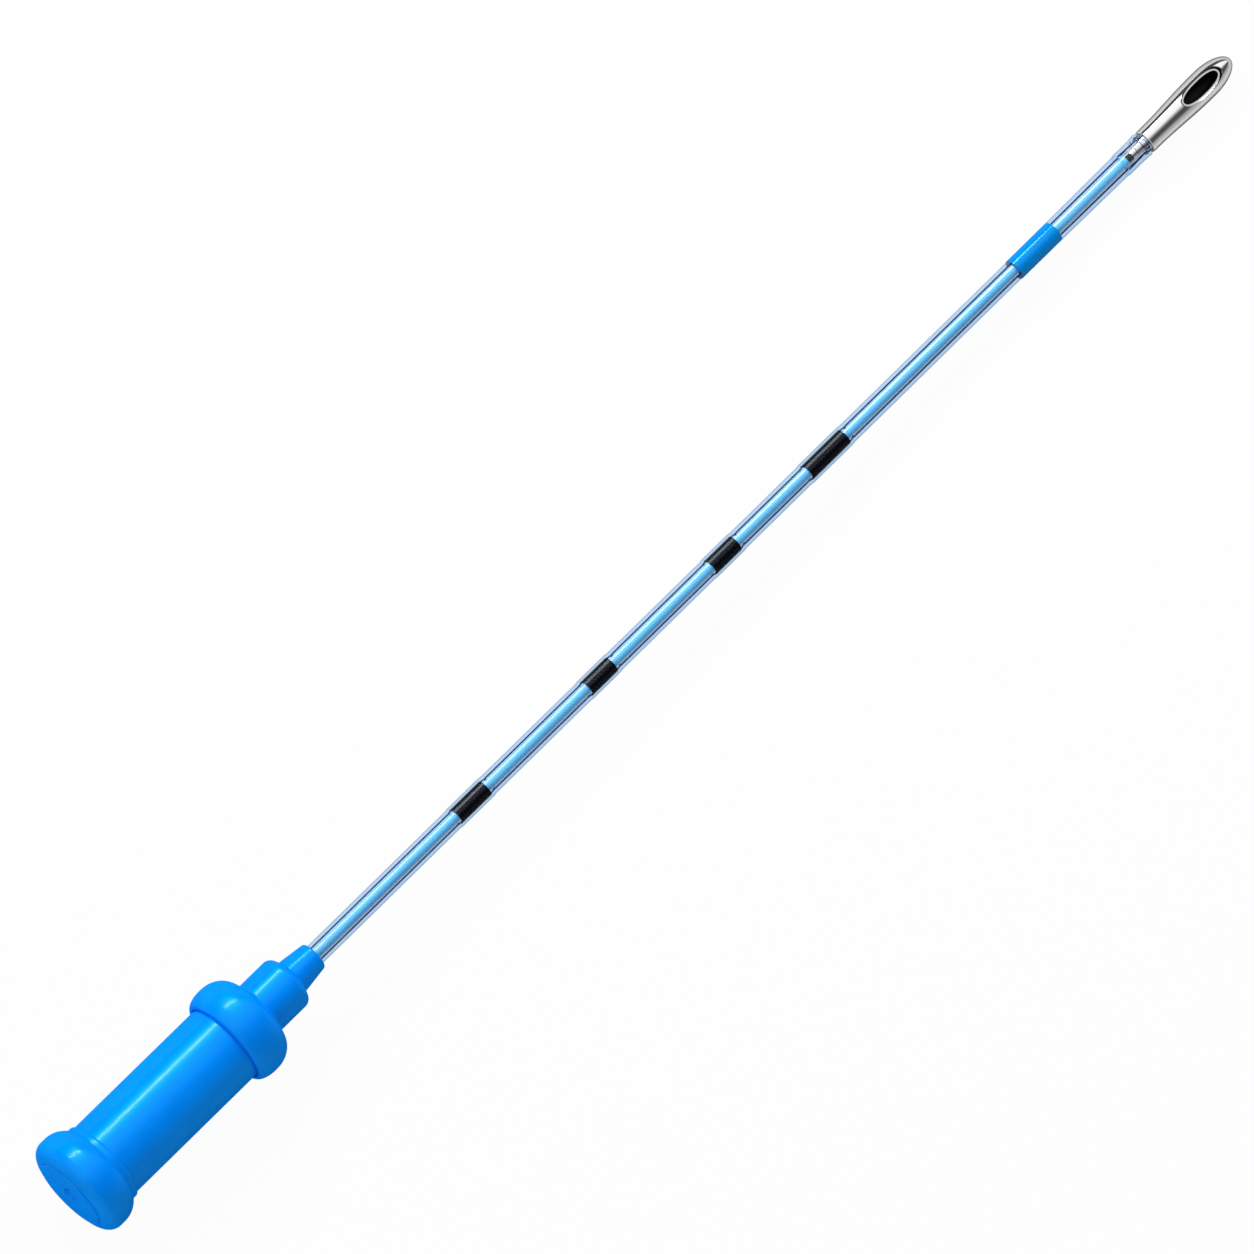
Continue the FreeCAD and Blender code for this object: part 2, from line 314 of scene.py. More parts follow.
collar_start, nozzle_end, _, collar_r = span("hub")
_, guide_end, _, _ = span("rod_guide")
collar_end = collar_start + COLLAR_LEN
collar_crown_end = collar_start + COLLAR_BACK + COLLAR_CROWN
step_end = collar_end + STEP_LEN
seat_floor = grip_front + SEAT_GAP
collar_face = collar_end - COLLAR_FACE_INSET
fillet_r = STEP_R + COLLAR_FILLET
nozzle_lip = nozzle_end - NOZZLE_ROUND
nozzle_lip_r = NOZZLE_END_R + NOZZLE_SWELL
hub_outline = [(collar_start, LIP_R), (collar_start, LIP_R + COLLAR_LIP)]
hub_outline += quarter(collar_start, LIP_R + COLLAR_LIP, collar_start + COLLAR_BACK, collar_r, "across", 14)
hub_outline += [(collar_crown_end, collar_r)]
hub_outline += quarter(collar_crown_end, collar_r, collar_face, fillet_r, "along", 16)
hub_outline += quarter(collar_face, fillet_r, collar_end + COLLAR_FILLET, STEP_R, "across", 8)
hub_outline += [(step_end - STEP_ROUND, STEP_R)]
hub_outline += quarter(step_end - STEP_ROUND, STEP_R, step_end, STEP_R - STEP_ROUND, "along", 8)
hub_outline += [(step_end, NOZZLE_BASE_R + NOZZLE_SHOULDER)]
hub_outline += [(step_end + NOZZLE_SHOULDER, NOZZLE_BASE_R - NOZZLE_DROP), (nozzle_lip, nozzle_lip_r)]
hub_outline += quarter(nozzle_lip, nozzle_lip_r, nozzle_end, SHEATH_R + NOZZLE_RIM, "along", 6)
hub_outline += [(nozzle_end, SHEATH_R)]
hub_outline += [(guide_end, SHEATH_R), (guide_end, GUIDE_R), (seat_floor, GUIDE_R), (seat_floor, LIP_R)]
hub = lay_piece("hub_moulding", turned_mesh(soften(hub_outline, MOULD_EDGE)), blue_moulding)
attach(hub, "sheath")
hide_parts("hub")


# Rod guide
# A natural acetal bush pressed into the hub behind the sheath. The rod runs in it and the piston
# head stops against it, so it is matt white with the fine marks of a moulded bearing.
guide_finish = {"Roughness": 0.42, "IOR": 1.48}
guide_white, guide_tree, guide_shader = start_material("moulded_acetal_white", guide_finish)
guide_coords = add(guide_tree, "ShaderNodeTexCoord").outputs["Object"]
mark_size = 1.5
guide_marks = add(guide_tree, "ShaderNodeTexNoise",
                  inputs={"Vector": guide_coords, "Scale": 1 / (mark_size * MM)})
guide_shades = add(guide_tree, "ShaderNodeValToRGB", inputs={"Fac": guide_marks.outputs["Fac"]})
guide_shades.color_ramp.elements[0].color = linear("#DDE0E0")
guide_shades.color_ramp.elements[1].color = linear("#EEF0EF")
guide_tree.links.new(guide_shades.outputs["Color"], guide_shader.inputs["Base Color"])
guide = frame["nodes"]["rod_guide"]
guide.data.materials.clear()
guide.data.materials.append(guide_white)


# Depth rings
# Four black rings printed round the liner, at uneven distances from the tip, that show how deep the
# catheter lies. They are one ink film, satin black under the clear jacket.
RING_NODES = ["depth_ring_%d" % number for number in (1, 2, 3, 4)]
TUBE_COLUMNS = 96


def new_group(name, sockets):
    """A geometry node tree with a geometry input and output and the named value inputs."""
    tree = bpy.data.node_groups.new(name, "GeometryNodeTree")
    tree.interface.new_socket("Geometry", in_out="INPUT", socket_type="NodeSocketGeometry")
    for label, kind in sockets.items():
        tree.interface.new_socket(label, in_out="INPUT", socket_type=kind)
    tree.interface.new_socket("Geometry", in_out="OUTPUT", socket_type="NodeSocketGeometry")
    return tree, add(tree, "NodeGroupInput").outputs


def grown(mesh, tree, values):
    """The plain mesh that a geometry node tree makes of a mesh, its inputs set by identifier."""
    seed = bpy.data.objects.new("seed", mesh)
    bpy.context.scene.collection.objects.link(seed)
    modifier = seed.modifiers.new(tree.name, "NODES")
    modifier.node_group = tree
    for item in tree.interface.items_tree:
        if item.name in values:
            modifier[item.identifier] = values[item.name]
    evaluated = seed.evaluated_get(bpy.context.evaluated_depsgraph_get())
    plain = bpy.data.meshes.new_from_object(evaluated)
    bpy.data.objects.remove(seed)
    return plain


def printed_black(name):
    """Black ink on clear film: a deep blue-black with a soft satin shine."""
    material, tree, shader = start_material(name, {"Roughness": 0.5, "Specular IOR Level": 0.0})
    lay_shine(tree, shader.outputs["BSDF"], 0.012, "#F2F4FF", 0.2)
    coords = add(tree, "ShaderNodeTexCoord").outputs["Object"]
    ink_size = 1.2
    ink = add(tree, "ShaderNodeTexNoise",
              inputs={"Vector": coords, "Scale": 1 / (ink_size * MM), "Detail": 4.0})
    shades = add(tree, "ShaderNodeValToRGB", inputs={"Fac": ink.outputs["Fac"]})
    shades.color_ramp.elements[0].color = linear("#010208")
    shades.color_ramp.elements[1].color = linear("#04060F")
    tree.links.new(shades.outputs["Color"], shader.inputs["Base Color"])
    return material


ring_black = printed_black("printed_ink_black")
ring_tree, ring_in = new_group("Printed rings", {
    "Ring radius": "NodeSocketFloat", "Ring wall": "NodeSocketFloat", "Ink": "NodeSocketMaterial"})
ring_path = add(ring_tree, "GeometryNodeCurvePrimitiveCircle",
                inputs={"Resolution": TUBE_COLUMNS, "Radius": ring_in["Ring radius"]})
ring_section = add(ring_tree, "GeometryNodeCurvePrimitiveQuadrilateral",
                   inputs={"Width": ring_in["Ring wall"], "Height": 1.0})
ring_body = add(ring_tree, "GeometryNodeCurveToMesh",
                inputs={"Curve": ring_path.outputs["Curve"], "Profile Curve": ring_section.outputs["Curve"]})
ring_turned = add(ring_tree, "GeometryNodeTransform",
                  inputs={"Geometry": ring_body.outputs["Mesh"], "Rotation": (0, math.pi / 2, 0)})
ring_length = add(ring_tree, "GeometryNodeInputNamedAttribute",
                  {"data_type": "FLOAT"}, {"Name": "ring_length"})
ring_scale = add(ring_tree, "ShaderNodeCombineXYZ",
                 inputs={"X": ring_length.outputs["Attribute"], "Y": 1.0, "Z": 1.0})
ring_copies = add(ring_tree, "GeometryNodeInstanceOnPoints",
                  inputs={"Points": ring_in["Geometry"], "Instance": ring_turned.outputs["Geometry"],
                          "Scale": ring_scale.outputs["Vector"]})
ring_real = add(ring_tree, "GeometryNodeRealizeInstances",
                inputs={"Geometry": ring_copies.outputs["Instances"]})
ring_inked = add(ring_tree, "GeometryNodeSetMaterial",
                 inputs={"Geometry": ring_real.outputs["Geometry"], "Material": ring_in["Ink"]})
add(ring_tree, "NodeGroupOutput", inputs={"Geometry": ring_inked.outputs["Geometry"]})

ring_spans = [span(node) for node in RING_NODES]
ring_bore, ring_r = ring_spans[0][2:]
ring_points = bpy.data.meshes.new("ring_points")
ring_points.from_pydata([((start + end) / 2, 0, 0) for start, end, _, _ in ring_spans], [], [])
lengths = ring_points.attributes.new("ring_length", "FLOAT", "POINT")
lengths.data.foreach_set("value", [end - start for start, end, _, _ in ring_spans])
ring_mesh = grown(ring_points, ring_tree, {
    "Ring radius": (ring_r + ring_bore) / 2, "Ring wall": ring_r - ring_bore, "Ink": ring_black})
ring_copy = ring_mesh.copy()
rings = lay_piece("depth_rings", ring_mesh, ring_black)
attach(rings, "sheath")
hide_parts(*RING_NODES)


# Sheath
# The clear outer jacket is drawn over the liner that the rings are printed on and is fused with it, so
# both are one tube here. Its skin swells a little over each ring and thickens between band and tip.
SWELL = 0.08
SWELL_REACH = 0.9
FLARE_START_R = 1.84
FLARE_END_R = 1.95
SWELL_STEPS = 6
CUFF_GAP = 0.02
SKIN_DEPTH = 0.05
FILM_GAP = 0.01
FLAT_END = 0.95
# The skin's tint ramp paints a dark navy shade line part way in from each side, and darker rims, for the
# shade that the thick wall's refraction makes.
SKIN_TINT_AND_PAINTED_SHADE = ((0.0, "#FDFEFF"), (0.2, "#F8FBFF"), (0.218, "#2C4E88"), (0.288, "#2C4E88"), (0.315, "#D3E5F4"),
              (0.5, "#DBEAF7"), (0.64, "#C4D9EE"), (1.0, "#A5BFDF"))
SKIN_MILK = ((0.0, 0.0), (0.27, 0.0), (0.33, 0.1), (1.0, 0.15))
BORE_EDGES = ((0.0, "#FDFEFF"), (1.0, "#EAF3FC"))
SKIN_SHINE = ((0.0, 0.008), (1.0, 0.02))
BORE_MILK = ((0.0, 0.03), (0.16, 0.04), (0.24, 0.25), (0.5, 0.25), (0.62, 0.05), (1.0, 0.0))
BORE_SHINE = ((0.0, 0.0), (0.16, 0.0), (0.24, 0.55), (0.5, 0.6), (0.62, 0.0))


def set_stops(ramp, stops):
    """Sets a colour ramp's stops from pairs of a place and a hex code or a grey level."""
    while len(ramp.elements) > 1:
        ramp.elements.remove(ramp.elements[1])
    for place, value in stops:
        stop = ramp.elements.new(place)
        stop.color = linear(value) if isinstance(value, str) else (value, value, value, 1)
    ramp.elements.remove(ramp.elements[0])


def extruded_clear(name, edges, milk, shine):
    """Clear extruded polymer: it shows what is behind, clouds towards its edges, and shines; its edge tint
    paints a dark shade line and darker rims on the outer skin.

    Lamp light passes through it, as it passes the real clear wall, so what is inside is well lit.
    """
    material, tree, shader = start_material(name, {"Roughness": 0.5, "Specular IOR Level": 0.0})
    coords = add(tree, "ShaderNodeTexCoord").outputs["Object"]
    draw_size = 5.0
    draw = add(tree, "ShaderNodeMapping", inputs={"Vector": coords, "Scale": (0.15, 1, 1)})
    haze = add(tree, "ShaderNodeTexNoise",
               inputs={"Vector": draw.outputs["Vector"], "Scale": 1 / (draw_size * MM), "Detail": 3.0})
    body = add(tree, "ShaderNodeValToRGB", inputs={"Fac": haze.outputs["Fac"]})
    body.color_ramp.elements[0].color = linear("#DCEEFF")
    body.color_ramp.elements[1].color = linear("#EAF6FF")
    tree.links.new(body.outputs["Color"], shader.inputs["Base Color"])
    slope = add(tree, "ShaderNodeLayerWeight", inputs={"Blend": 0.5})
    tint = add(tree, "ShaderNodeValToRGB", inputs={"Fac": slope.outputs["Facing"]})
    set_stops(tint.color_ramp, edges)
    clear = add(tree, "ShaderNodeBsdfTransparent", inputs={"Color": tint.outputs["Color"]})
    cloud = add(tree, "ShaderNodeValToRGB", inputs={"Fac": slope.outputs["Facing"]})
    set_stops(cloud.color_ramp, milk)
    milky = add(tree, "ShaderNodeMixShader",
                inputs={"Fac": cloud.outputs["Color"], 1: clear.outputs["BSDF"], 2: shader.outputs["BSDF"]})
    gloss = add(tree, "ShaderNodeMapRange",
                inputs={"Value": haze.outputs["Fac"], "To Min": 0.18, "To Max": 0.25})
    polish = add(tree, "ShaderNodeBsdfGlossy",
                 inputs={"Color": linear("#DDEEFF"), "Roughness": gloss.outputs["Result"]})
    sheen = add(tree, "ShaderNodeValToRGB", inputs={"Fac": slope.outputs["Facing"]})
    set_stops(sheen.color_ramp, shine)
    wall = add(tree, "ShaderNodeMixShader",
               inputs={"Fac": sheen.outputs["Color"], 1: milky.outputs["Shader"], 2: polish.outputs["BSDF"]})
    passing = add(tree, "ShaderNodeBsdfTransparent")
    rays = add(tree, "ShaderNodeLightPath").outputs
    surface = add(tree, "ShaderNodeMixShader",
                  inputs={"Fac": rays["Is Shadow Ray"], 1: wall.outputs["Shader"],
                          2: passing.outputs["BSDF"]})
    tree.links.new(surface.outputs["Shader"], tree.nodes["Material Output"].inputs["Surface"])
    return material


_, sheath_end, liner_bore, _ = span("sheath_liner")
jacket_start, _, _, _ = span("sheath_jacket")
band_start, band_front, _, band_r = span("position_band")
sleeve_start, _, _, _ = span("tip_sleeve")
clear_sheath = extruded_clear("clear_sheath_with_painted_shade_lines", SKIN_TINT_AND_PAINTED_SHADE, SKIN_MILK, SKIN_SHINE)
clear_bore = extruded_clear("extruded_clear_bore", BORE_EDGES, BORE_MILK, BORE_SHINE)
stations = {jacket_start, band_front}
for start, end, _, _ in ring_spans:
    stations.update(start - SWELL_REACH + SWELL_REACH * step / SWELL_STEPS for step in range(SWELL_STEPS + 1))
    stations.update(end + SWELL_REACH * step / SWELL_STEPS for step in range(SWELL_STEPS + 1))
outer_skin = [(x, SHEATH_R) for x in sorted(stations)]
cuff_seam = sleeve_start - CUFF_GAP
flare = [(band_front, FLARE_START_R), (cuff_seam, FLARE_END_R)]
inner_skin = [(cuff_seam, liner_bore), (jacket_start, liner_bore)]
jacket_seed = turned_mesh(outer_skin + flare + inner_skin, TUBE_COLUMNS)

jacket_tree, jacket_in = new_group("Skin swells over rings", {
    "Rings": "NodeSocketObject", "Skin radius": "NodeSocketFloat", "Bare gap": "NodeSocketFloat",
    "Reach": "NodeSocketFloat", "Swell": "NodeSocketFloat", "Plastic": "NodeSocketMaterial"})
skin_place = add(jacket_tree, "GeometryNodeInputPosition").outputs["Position"]
skin_out = add(jacket_tree, "ShaderNodeVectorMath", {"operation": "MULTIPLY"}, {0: skin_place, 1: (0, 1, 1)})
skin_radius = add(jacket_tree, "ShaderNodeVectorMath",
                  {"operation": "LENGTH"}, {0: skin_out.outputs["Vector"]})
skin_way = add(jacket_tree, "ShaderNodeVectorMath",
               {"operation": "NORMALIZE"}, {0: skin_out.outputs["Vector"]})
ring_shapes = add(jacket_tree, "GeometryNodeObjectInfo", inputs={"Object": jacket_in["Rings"]})
ring_distance = add(jacket_tree, "GeometryNodeProximity", inputs={0: ring_shapes.outputs["Geometry"]})
swell = add(jacket_tree, "ShaderNodeMapRange", {"interpolation_type": "SMOOTHSTEP"},
            {"Value": ring_distance.outputs["Distance"], "From Min": jacket_in["Bare gap"],
             "From Max": jacket_in["Reach"], "To Min": jacket_in["Swell"], "To Max": 0.0})
skin_offset = add(jacket_tree, "ShaderNodeVectorMath", {"operation": "SCALE"},
                  {0: skin_way.outputs["Vector"], "Scale": swell.outputs["Result"]})
is_skin = add(jacket_tree, "FunctionNodeCompare", {"operation": "GREATER_THAN"},
              {0: skin_radius.outputs["Value"], 1: jacket_in["Skin radius"]})
swollen = add(jacket_tree, "GeometryNodeSetPosition",
              inputs={"Geometry": jacket_in["Geometry"], "Selection": is_skin.outputs["Result"],
                      "Offset": skin_offset.outputs["Vector"]})
jacket_real = add(jacket_tree, "GeometryNodeRealizeInstances",
                  inputs={"Geometry": swollen.outputs["Geometry"]})
jacket_clear = add(jacket_tree, "GeometryNodeSetMaterial",
                   inputs={"Geometry": jacket_real.outputs["Geometry"], "Material": jacket_in["Plastic"]})
add(jacket_tree, "NodeGroupOutput", inputs={"Geometry": jacket_clear.outputs["Geometry"]})

ring_target = bpy.data.objects.new("ring_target", ring_copy)
bpy.context.scene.collection.objects.link(ring_target)
jacket_mesh = grown(jacket_seed, jacket_tree, {
    "Rings": ring_target, "Skin radius": SHEATH_R - SKIN_DEPTH, "Bare gap": SHEATH_R - ring_r + FILM_GAP,
    "Reach": SWELL_REACH, "Swell": SWELL, "Plastic": clear_sheath})
bpy.data.objects.remove(ring_target)
jacket_mesh.materials.clear()
jacket = lay_piece("clear_sheath_tube", jacket_mesh, clear_sheath)
jacket_mesh.materials.append(clear_bore)


def mark_bore(mesh):
    """Gives the faces of a tube's bore and of its flat ends their own clear material."""
    for face in mesh.polygons:
        middle = LAY_DOWN.inverted() @ face.center
        if math.hypot(middle.y, middle.z) < ring_bore or abs(face.normal.dot(ahead)) > FLAT_END:
            face.material_index = 1


mark_bore(jacket_mesh)
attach(jacket, "sheath")
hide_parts("sheath_jacket", "sheath_liner")


# Position band
# A short blue heat-shrunk sleeve on the jacket, pushed up to its shoulder. It tells the clinician
# which way the eye of the tip faces; it is glossy and a shade deeper than the grip.
BAND_EDGE = 0.04

band_blue, band_tree, band_shader = start_material("shrunk_sleeve_blue", {"Specular IOR Level": 0.0})
_, band_glowing = lay_shine(band_tree, band_shader.outputs["BSDF"], 0.03, "#18FFFF", 0.22)
lay_shine(band_tree, band_glowing, 0.01, "#F4FCFF", 0.12)
band_coords = add(band_tree, "ShaderNodeTexCoord").outputs["Object"]
band_flow_size = 3.0
band_flow = add(band_tree, "ShaderNodeTexNoise",
                inputs={"Vector": band_coords, "Scale": 1 / (band_flow_size * MM), "Detail": 2.0})
band_shades = add(band_tree, "ShaderNodeValToRGB", inputs={"Fac": band_flow.outputs["Fac"]})
band_shades.color_ramp.elements[0].color = linear("#007ED6")
band_shades.color_ramp.elements[1].color = linear("#0088E2")
band_tree.links.new(band_shades.outputs["Color"], band_shader.inputs["Base Color"])
band_bore = SHEATH_R + FILM_GAP
band_outline = [(band_start, band_bore), (band_start, band_r), (band_front, band_r), (band_front, band_bore)]
band = lay_piece("blue_band", turned_mesh(soften(band_outline, BAND_EDGE), TUBE_COLUMNS), band_blue)
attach(band, "sheath")
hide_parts("position_band")


# Tip sleeve
# A clear cuff in the sheath's plastic, shrunk and fused over its end, so it is drawn down to the
# bore. It swells to a crimped lip and turns in to the steel tip's groove, which locks the tip on.
SLEEVE_BACK_R = 2.05
LIP_TUCK_R = 1.8
CRIMP_LEN = 1.7
CRIMP_COUNT = 11
CRIMP_DEPTH = 0.05
CRIMP_TWIST = 4
CRIMP_FOOT = 0.1
CUFF_EDGE = 0.04
CUFF_EDGE_LEN = 0.1
CUFF_WAIST = 0.01
CUFF_SWELL = 0.1
CUFF_SWELL_STEPS = 6

_, lip_front, groove_r, sleeve_lip_r = span("tip_sleeve")
lip_turn = sleeve_lip_r - groove_r
waist = (sleeve_start + lip_front) / 2
crimp_start = lip_front - CRIMP_LEN
cuff_floor = sheath_end + CUFF_GAP
tuck_end_r = groove_r + FILM_GAP
sleeve_outline = [(sleeve_start, liner_bore), (sleeve_start, SLEEVE_BACK_R - CUFF_EDGE)]
sleeve_outline += [(sleeve_start + CUFF_EDGE_LEN, SLEEVE_BACK_R), (waist, SLEEVE_BACK_R - CUFF_WAIST)]
for step in range(1, CUFF_SWELL_STEPS + 1):
    risen = step / CUFF_SWELL_STEPS
    sleeve_outline.append((crimp_start + CRIMP_LEN / 2 * risen, SLEEVE_BACK_R + CUFF_SWELL * risen))
sleeve_outline += [(lip_front - lip_turn, sleeve_lip_r)]
sleeve_outline += quarter(lip_front - lip_turn, sleeve_lip_r, lip_front, LIP_TUCK_R, "along", 8)
sleeve_outline += [(lip_front, tuck_end_r), (cuff_floor, tuck_end_r), (cuff_floor, liner_bore)]
sleeve_mesh = turned_mesh(sleeve_outline, TUBE_COLUMNS)
for vertex in sleeve_mesh.vertices:
    radius = math.hypot(vertex.co.y, vertex.co.z)
    if vertex.co.x > crimp_start and radius > LIP_TUCK_R - CRIMP_FOOT:
        depth = CRIMP_DEPTH * math.sin(math.pi * (vertex.co.x - crimp_start) / CRIMP_LEN)
        fold = math.sin(CRIMP_COUNT * math.atan2(vertex.co.y, vertex.co.z) + CRIMP_TWIST * vertex.co.x) - 1
        vertex.co.yz *= 1 + depth * fold / radius
sleeve = lay_piece("clear_cuff", sleeve_mesh, clear_sheath)
sleeve_mesh.materials.append(clear_bore)
mark_bore(sleeve_mesh)
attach(sleeve, "sheath")
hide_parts("tip_sleeve")


# Curette tip
# A hollow bullet turned and polished from stainless steel, with one oval eye whose bevelled rim
# scrapes the sample loose. Behind it a neck, a groove for the cuff and a spigot in the sheath.
TIP_LEN = 19.9
NECK_R = 2.07
NECK_EDGE = 0.24
NECK_STRAIGHT = 1.1
GROOVE_R = 1.6
ROOT_LEN = 1.2
SPIGOT_R = 1.0
SPIGOT_BORE = 0.85
SPIGOT_BORE_LEN = 2.6
NOSE_LEN = 5.8
CROWN_LEN = 1.0
CAVITY_R = 1.95
EYE_FROM_TIP = 7.4
EYE_HALF_LEN = 3.8
EYE_HALF_WIDTH = 1.15
LIP_WIDTH = 0.26
BEVEL_LONG = 0.55
BEVEL_SIDE = 0.5
EYE_FULLNESS = 2.3
TIP_COLUMNS = 128
PATCH_COLUMNS = 20
PATCH_BACK = 5.7
PATCH_FRONT = 5.1
PATCH_ROWS = 8
BEVEL_ROWS = 4
CAVITY_ROWS = 11
BODY_ROWS = 30
CROWN_ROWS = 3
NOSE_ROWS = 26
RIM_TRIES = 12
MERGE_GAP = 1e-4


def polished_steel(name):
    """Polished stainless steel: bright, with soft reflections and faint rings left by the turning; a dark
    edge tint paints shade into its grazing reflections at the rims.
    """
    # The dark grey edge tint darkens the grazing reflections at the tip's rims, which paints shade there.
    values = {"Metallic": 1.0, "Base Color": linear("#E4E2E3"), "Specular Tint": linear("#404040")}
    material, tree, shader = start_material(name, values)
    coords = add(tree, "ShaderNodeTexCoord").outputs["Object"]
    line_size = 0.12
    across = add(tree, "ShaderNodeMapping", inputs={"Vector": coords, "Scale": (1, 0.04, 0.04)})
    lines = add(tree, "ShaderNodeTexNoise",
                inputs={"Vector": across.outputs["Vector"], "Scale": 1 / (line_size * MM), "Detail": 3.0})
    gloss = add(tree, "ShaderNodeMapRange",
                inputs={"Value": lines.outputs["Fac"], "To Min": 0.07, "To Max": 0.12})
    tree.links.new(gloss.outputs["Result"], shader.inputs["Roughness"])
    grain = add(tree, "ShaderNodeBump",
                inputs={"Height": lines.outputs["Fac"], "Strength": 0.1, "Distance": 0.004 * MM})
    tree.links.new(grain.outputs["Normal"], shader.inputs["Normal"])
    return material


def shade_painted_bore(name):
    """The unpolished inside of the tip, painted near-black for the shade in its cavity: it gives back only a
    little soft light.
    """
    material, tree, shader = start_material(name, {"Metallic": 0.6, "Roughness": 0.55})
    coords = add(tree, "ShaderNodeTexCoord").outputs["Object"]
    grain_size = 0.4
    grain = add(tree, "ShaderNodeTexNoise",
                inputs={"Vector": coords, "Scale": 1 / (grain_size * MM), "Detail": 4.0})
    shades = add(tree, "ShaderNodeValToRGB", inputs={"Fac": grain.outputs["Fac"]})
    shades.color_ramp.elements[0].color = linear("#0B0B0C")
    shades.color_ramp.elements[1].color = linear("#19191B")
    tree.links.new(shades.outputs["Color"], shader.inputs["Base Color"])
    return material


spigot_end, tip_end, _, bulb_r = span("curette_tip")
neck = tip_end - TIP_LEN
body_start = neck + NECK_STRAIGHT
nose_start = tip_end - NOSE_LEN
bulb_start = nose_start - CROWN_LEN
eye_middle = tip_end - EYE_FROM_TIP
sill = math.sqrt(CAVITY_R ** 2 - EYE_HALF_WIDTH ** 2)


def tip_radius(x):
    """The bullet's outer radius: a long gentle swell to the bulb, then an elliptical nose."""
    if x > nose_start:
        return bulb_r * math.sqrt(max(0.0, 1 - ((x - nose_start) / NOSE_LEN) ** 2))
    share = min(max((x - body_start) / (bulb_start - body_start), 0.0), 1.0)
    return NECK_R + (bulb_r - NECK_R) * (1 - math.cos(math.pi * share)) / 2


def on_tip(x, turn, radius):
    """The point at a station, at an angle from the top of the tip and at a radius."""
    return (x, radius * math.sin(turn), radius * math.cos(turn))


def eye_edge(turn, lip, growth):
    """A point of the eye's oval, as a station and a sideways distance, grown by its lip and its bevel."""
    run = math.copysign(abs(math.cos(turn)) ** (2 / EYE_FULLNESS), math.cos(turn))
    width = math.copysign(abs(math.sin(turn)) ** (2 / EYE_FULLNESS), math.sin(turn))
    x = eye_middle + (EYE_HALF_LEN + lip + BEVEL_LONG * growth) * run
    return x, (EYE_HALF_WIDTH + lip + BEVEL_SIDE * growth) * width


def rim_point(turn):
    """Where the bevel meets the bullet's outside in one direction from the eye's middle."""
    growth = 1.0
    for _ in range(RIM_TRIES):
        x, y = eye_edge(turn, LIP_WIDTH, growth)
        height = math.sqrt(max(tip_radius(x) ** 2 - y ** 2, 0.0))
        growth = 0.5 * growth + 0.5 * (height - sill) / (bulb_r - sill)
    x, y = eye_edge(turn, LIP_WIDTH, growth)
    return x, y, growth


bore_floor = spigot_end + SPIGOT_BORE_LEN
root_back = sheath_end - ROOT_LEN
root_front = sheath_end + FILM_GAP
root_r = liner_bore - FILM_GAP
tip_back_outline = [(bore_floor, 0), (bore_floor, SPIGOT_BORE), (spigot_end, SPIGOT_BORE)]
tip_back_outline += [(spigot_end, SPIGOT_R), (root_back, SPIGOT_R), (root_back, root_r)]
tip_back_outline += [(root_front, root_r), (root_front, GROOVE_R), (neck, GROOVE_R)]
tip_back_outline += [(neck, NECK_R - NECK_EDGE)]
tip_back_outline += quarter(neck, NECK_R - NECK_EDGE, neck + NECK_EDGE, NECK_R, "across", 6)
body_len = bulb_start - body_start
tip_stations = [body_start + body_len * step / BODY_ROWS for step in range(BODY_ROWS + 1)]
tip_stations += [bulb_start + CROWN_LEN * step / CROWN_ROWS for step in range(1, CROWN_ROWS + 1)]
tip_stations += [nose_start + NOSE_LEN * math.sin(math.pi / 2 * step / NOSE_ROWS)
                 for step in range(1, NOSE_ROWS + 1)]
back_count = len(tip_back_outline)
tip_outline = tip_back_outline + [(x, tip_radius(x)) for x in tip_stations]

tip_shape = bmesh.new()
tip_turns = [2 * math.pi * column / TIP_COLUMNS for column in range(TIP_COLUMNS)]
tip_rings = []
for x, r in tip_outline:
    if r < 1e-6:
        tip_rings.append([tip_shape.verts.new((x, 0, 0))])
    else:
        tip_rings.append([tip_shape.verts.new(on_tip(x, turn, r)) for turn in tip_turns])
patch_rows = [row for row, (x, _) in enumerate(tip_outline)
              if row >= back_count and eye_middle - PATCH_BACK < x < eye_middle + PATCH_FRONT]
patch_first, patch_last = patch_rows[0], patch_rows[-1]


def in_patch(column):
    """Whether the cell ahead of this column lies under the patch round the eye."""
    return column < PATCH_COLUMNS or column >= TIP_COLUMNS - PATCH_COLUMNS


for row, (near, far) in enumerate(zip(tip_rings, tip_rings[1:])):
    for column in range(TIP_COLUMNS):
        if patch_first <= row < patch_last and in_patch(column):
            continue
        after = (column + 1) % TIP_COLUMNS
        corners = [near[column % len(near)], near[after % len(near)]]
        corners += [far[after % len(far)], far[column % len(far)]]
        tip_shape.faces.new(list(dict.fromkeys(corners)))

back_edge = [(patch_first, column) for column in range(PATCH_COLUMNS, -PATCH_COLUMNS, -1)]
low_edge = [(row, -PATCH_COLUMNS) for row in range(patch_first, patch_last)]
front_edge = [(patch_last, column) for column in range(-PATCH_COLUMNS, PATCH_COLUMNS)]
high_edge = [(row, PATCH_COLUMNS) for row in range(patch_last, patch_first, -1)]
border = back_edge + low_edge + front_edge + high_edge
loops = [[tip_rings[row][column % TIP_COLUMNS] for row, column in border]]
eye_turns = []
rim_points = []
half_angle = PATCH_COLUMNS * 2 * math.pi / TIP_COLUMNS
for row, column in border:
    away = (tip_outline[row][0] - eye_middle) / PATCH_BACK
    aside = column * 2 * math.pi / TIP_COLUMNS / half_angle
    eye_turns.append(math.atan2(aside, away))
    rim_points.append(rim_point(eye_turns[-1]))
